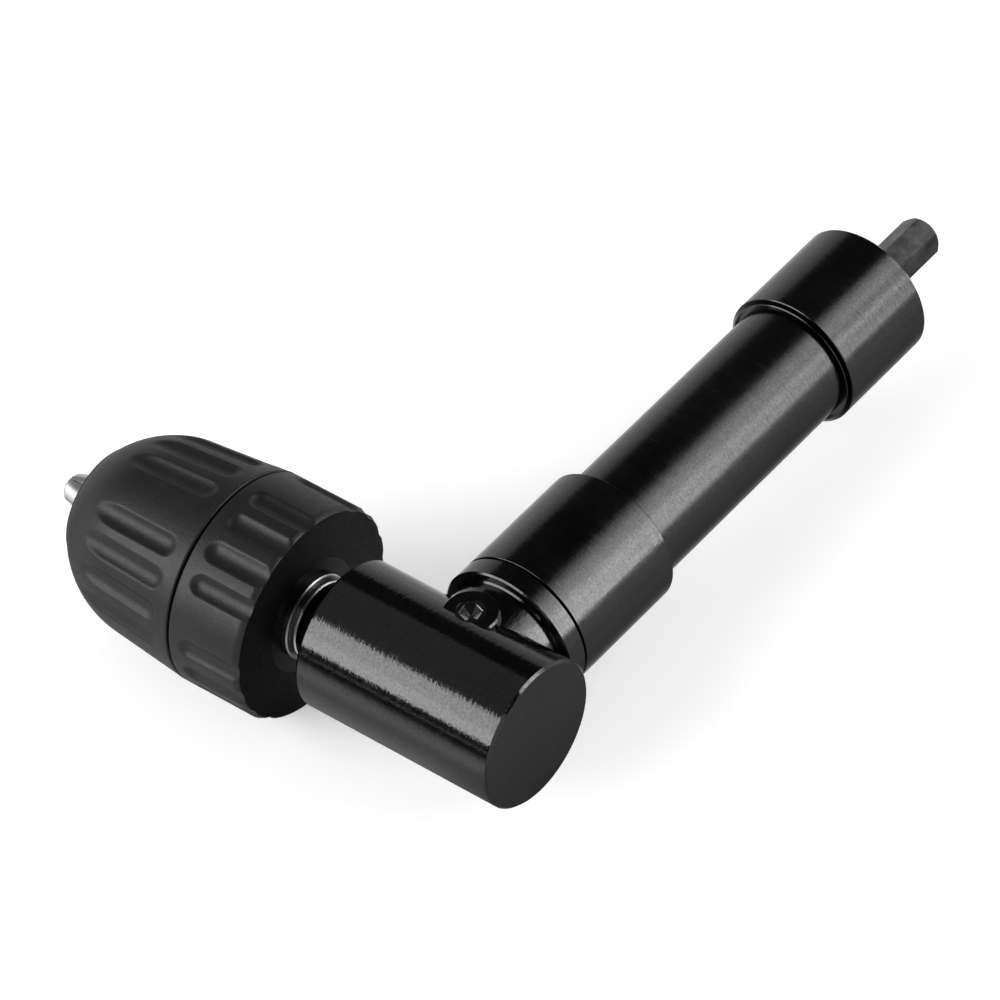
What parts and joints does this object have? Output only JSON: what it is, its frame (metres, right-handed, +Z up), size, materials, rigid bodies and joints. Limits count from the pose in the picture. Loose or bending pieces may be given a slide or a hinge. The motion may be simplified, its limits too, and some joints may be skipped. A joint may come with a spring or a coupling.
{
  "type": "right angle drill attachment",
  "caption": "Right angle drill attachment: a hex shank turns a keyless chuck through a shaft and a pair of mitre gears.",
  "frame": {"origin": "middle of the box in X and Y, on the plane that the lowest point of the chuck touches", "axes": "+X along the arm towards the hex shank, +Y along the output spindle towards the chuck's nose, +Z up through the grease plug"},
  "size_m": [0.1736, 0.1146, 0.0444],
  "materials": {
    "black_metal": "glossy black, finely turned",
    "cap_metal": "matte black",
    "black_screw": "black oxide",
    "seal_rubber": "matte",
    "shank_steel": "dark satin steel",
    "bright_steel": "bright turned steel",
    "jaw_steel": "ground steel",
    "chuck_steel": "dark turned steel",
    "chuck_plastic": "matte moulded",
    "gear_steel": "machined steel",
    "bearing_steel": "polished bearing steel",
    "spring_steel": "plain"
  },
  "bodies": {
    "housing": {"gear_head": "black_metal", "end_cap": "cap_metal", "grease_plug": "black_screw", "spindle_seal": "seal_rubber", "lock_ring": "black_metal", "coupling_sleeve": "black_metal", "arm_tube": "black_metal", "rear_collar": "black_metal", "bearing_circlip": "spring_steel", "pinion_bearing_outers": "bearing_steel", "rear_bearing_outer": "bearing_steel", "spindle_bearing_outer": "bearing_steel", "tail_bearing_outer": "bearing_steel", "pinion_bearing_balls": "bearing_steel", "rear_bearing_balls": "bearing_steel", "spindle_bearing_balls": "bearing_steel", "tail_bearing_balls": "bearing_steel"},
    "input": {"drive_shaft": "shank_steel", "pinion": "gear_steel", "pinion_pin": "spring_steel", "bearing_spacer": "gear_steel", "shaft_circlips": "spring_steel", "pinion_bearing_inners": "bearing_steel", "rear_bearing_inner": "bearing_steel"},
    "output": {"output_spindle": "bright_steel", "output_gear": "gear_steel", "gear_key": "spring_steel", "spindle_bearing_inner": "bearing_steel", "tail_bearing_inner": "bearing_steel", "chuck_body": "chuck_steel", "rear_sleeve": "chuck_plastic", "chuck_screw": "spring_steel", "thrust_race_rear": "bearing_steel", "thrust_balls": "bearing_steel"},
    "chuck_sleeve": {"front_sleeve": "chuck_plastic", "nut_halves": "chuck_steel", "nut_collar": "chuck_steel", "thrust_race_front": "bearing_steel"},
    "jaw_1": {"jaw_1": "jaw_steel"},
    "jaw_2": {"jaw_2": "jaw_steel"},
    "jaw_3": {"jaw_3": "jaw_steel"}
  },
  "joints": [
    {"name": "output_spin", "type": "hinge", "parent": "housing", "child": "output", "pos_m": [-0.0646, -0.03725, 0.0222], "axis": [0, 1, 0], "continuous": true},
    {"name": "input_spin", "type": "hinge", "parent": "housing", "child": "input", "pos_m": [-0.0646, -0.03725, 0.0222], "axis": [1, 0, 0], "continuous": true},
    {"name": "sleeve_turn", "type": "hinge", "parent": "output", "child": "chuck_sleeve", "pos_m": [-0.0646, -0.03725, 0.0222], "axis": [0, 1, 0], "range_deg": [0, 3900]},
    {"name": "jaw_1_slide", "type": "slide", "parent": "output", "child": "jaw_1", "axis": [-0.2709, -0.9575, 0.0986], "range_m": [0, 0.01734]},
    {"name": "jaw_2_slide", "type": "slide", "parent": "output", "child": "jaw_2", "axis": [0.0501, -0.9575, -0.2839], "range_m": [0, 0.01734]},
    {"name": "jaw_3_slide", "type": "slide", "parent": "output", "child": "jaw_3", "axis": [0.2208, -0.9575, 0.1853], "range_m": [0, 0.01734]}
  ],
  "couplings": [
    {"joint": "input_spin", "follows": "output_spin", "ratio": -1},
    {"joint": "jaw_1_slide", "follows": "sleeve_turn", "m_per_rad": 0.00025465},
    {"joint": "jaw_2_slide", "follows": "sleeve_turn", "m_per_rad": 0.00025465},
    {"joint": "jaw_3_slide", "follows": "sleeve_turn", "m_per_rad": 0.00025465}
  ]
}
